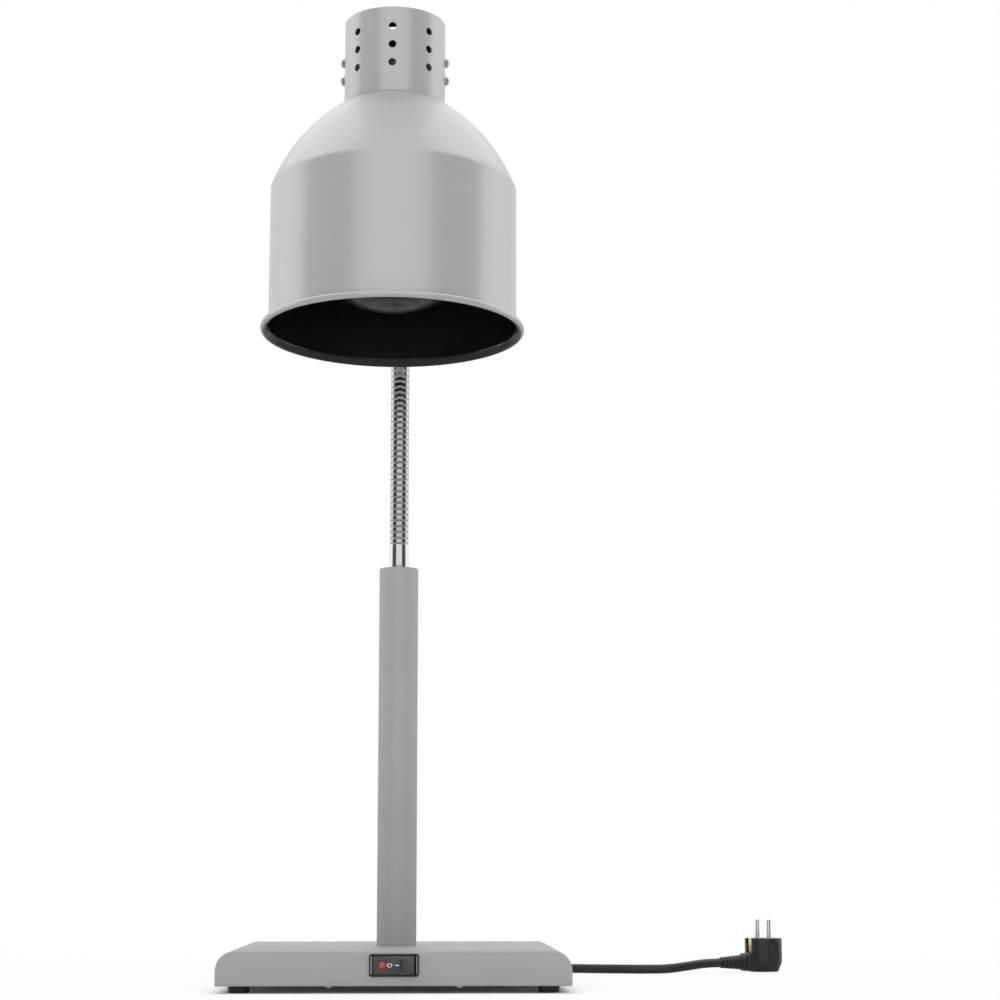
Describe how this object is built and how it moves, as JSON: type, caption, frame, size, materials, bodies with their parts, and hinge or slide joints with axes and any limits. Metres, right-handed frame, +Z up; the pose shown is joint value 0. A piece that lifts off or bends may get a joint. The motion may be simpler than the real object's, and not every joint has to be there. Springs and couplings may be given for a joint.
{
  "type": "food warming lamp",
  "caption": "Table heat lamp for warming food: domed shade with a reflector bulb on a gooseneck, round column, flat base with a rocker switch and a mains cord.",
  "frame": {"origin": "on the table under the middle of the base, in the plane of the feet", "axes": "+Z up, -Y to the front where the switch is, +X to the right seen from the front"},
  "size_m": [0.544, 0.5577, 0.8646],
  "materials": {
    "powder_silver": "fine textured powder coat",
    "satin_silver": "satin silver outside, gloss black inside",
    "black_enamel": "gloss black heatproof enamel",
    "zinc_steel": "zinc plated",
    "chrome": "polished",
    "brass": "plain",
    "rubber": "matt",
    "black_plastic": "moulded",
    "rocker_plastic": "satin moulded",
    "red_lens": "clear red",
    "ceramic": "glazed white ceramic",
    "bulb_glass": "frosted face, mirrored back",
    "cap_alloy": "rolled thread",
    "filament": "fine wire on a glass stem",
    "block_plastic": "moulded",
    "lead_insulation": "insulated wires",
    "cord_rubber": "satin black sheath"
  },
  "bodies": {
    "stand": {"base_cover": "powder_silver", "bottom_plate": "zinc_steel", "plate_screws": "chrome", "rubber_feet": "rubber", "foot_screws": "zinc_steel", "stiffener_plate": "zinc_steel", "column": "powder_silver", "column_foot_plug": "zinc_steel", "threaded_nipple": "brass", "nipple_nut": "brass", "column_top_bush": "zinc_steel", "column_lead": "cord_rubber", "lower_ferrule": "chrome", "gooseneck_base": "chrome", "switch_frame": "black_plastic", "switch_terminals": "brass", "terminal_block": "block_plastic", "earth_stud": "zinc_steel", "base_leads": "lead_insulation", "cord_gland": "black_plastic", "gland_nut": "black_plastic", "cord_boot": "cord_rubber", "power_cord": "cord_rubber", "plug_boot": "cord_rubber", "plug_body": "cord_rubber", "plug_pins": "chrome", "plug_earth_clips": "brass"},
    "neck_link_1": {"gooseneck_1": "chrome"},
    "neck_link_2": {"gooseneck_2": "chrome"},
    "neck_link_3": {"gooseneck_3": "chrome"},
    "neck_link_4": {"gooseneck_4": "chrome"},
    "neck_link_5": {"gooseneck_5": "chrome"},
    "head": {"gooseneck_tip": "chrome", "upper_ferrule": "chrome", "collar_nut": "brass", "shade": "satin_silver", "collar": "satin_silver", "top_plate": "black_enamel", "holder_bracket": "zinc_steel", "bracket_screws": "chrome", "bracket_nuts": "zinc_steel", "lamp_holder": "ceramic", "holder_shell": "brass", "holder_screws": "zinc_steel", "bulb_glass": "bulb_glass", "bulb_cap": "cap_alloy", "bulb_filament": "filament", "head_leads": "lead_insulation"},
    "rocker": {"switch_rocker": "rocker_plastic", "rocker_lens": "red_lens"}
  },
  "joints": [
    {"name": "neck_lean_lower", "type": "hinge", "parent": "stand", "child": "neck_link_1", "pos_m": [0, 0.018, 0.425], "axis": [0.9992, -0.0401, 0], "range_deg": [-15, 15]},
    {"name": "neck_sway_lower", "type": "hinge", "parent": "neck_link_1", "child": "neck_link_2", "pos_m": [0, 0.018, 0.458], "axis": [0.0401, 0.9992, 0], "range_deg": [-15, 15]},
    {"name": "neck_lean_upper", "type": "hinge", "parent": "neck_link_2", "child": "neck_link_3", "pos_m": [0, 0.018, 0.491], "axis": [0.9992, -0.0401, 0], "range_deg": [-15, 15]},
    {"name": "neck_sway_upper", "type": "hinge", "parent": "neck_link_3", "child": "neck_link_4", "pos_m": [0, 0.018, 0.524], "axis": [0.0401, 0.9992, 0], "range_deg": [-15, 15]},
    {"name": "head_nod_lower", "type": "hinge", "parent": "neck_link_4", "child": "neck_link_5", "pos_m": [-0.00061, 0.00272, 0.80327], "axis": [-0.9992, 0.0401, 0], "range_deg": [0, 20]},
    {"name": "head_nod_upper", "type": "hinge", "parent": "neck_link_5", "child": "head", "pos_m": [-0.00193, -0.02998, 0.82229], "axis": [-0.9992, 0.0401, 0], "range_deg": [0, 20]},
    {"name": "switch_rock", "type": "hinge", "parent": "stand", "child": "rocker", "pos_m": [0, -0.1468, 0.0233], "axis": [0, 0, 1], "range_deg": [0, 14]}
  ],
  "couplings": [
    {"joint": "neck_lean_upper", "follows": "neck_lean_lower", "ratio": 1},
    {"joint": "neck_sway_upper", "follows": "neck_sway_lower", "ratio": 1},
    {"joint": "head_nod_upper", "follows": "head_nod_lower", "ratio": 1}
  ]
}
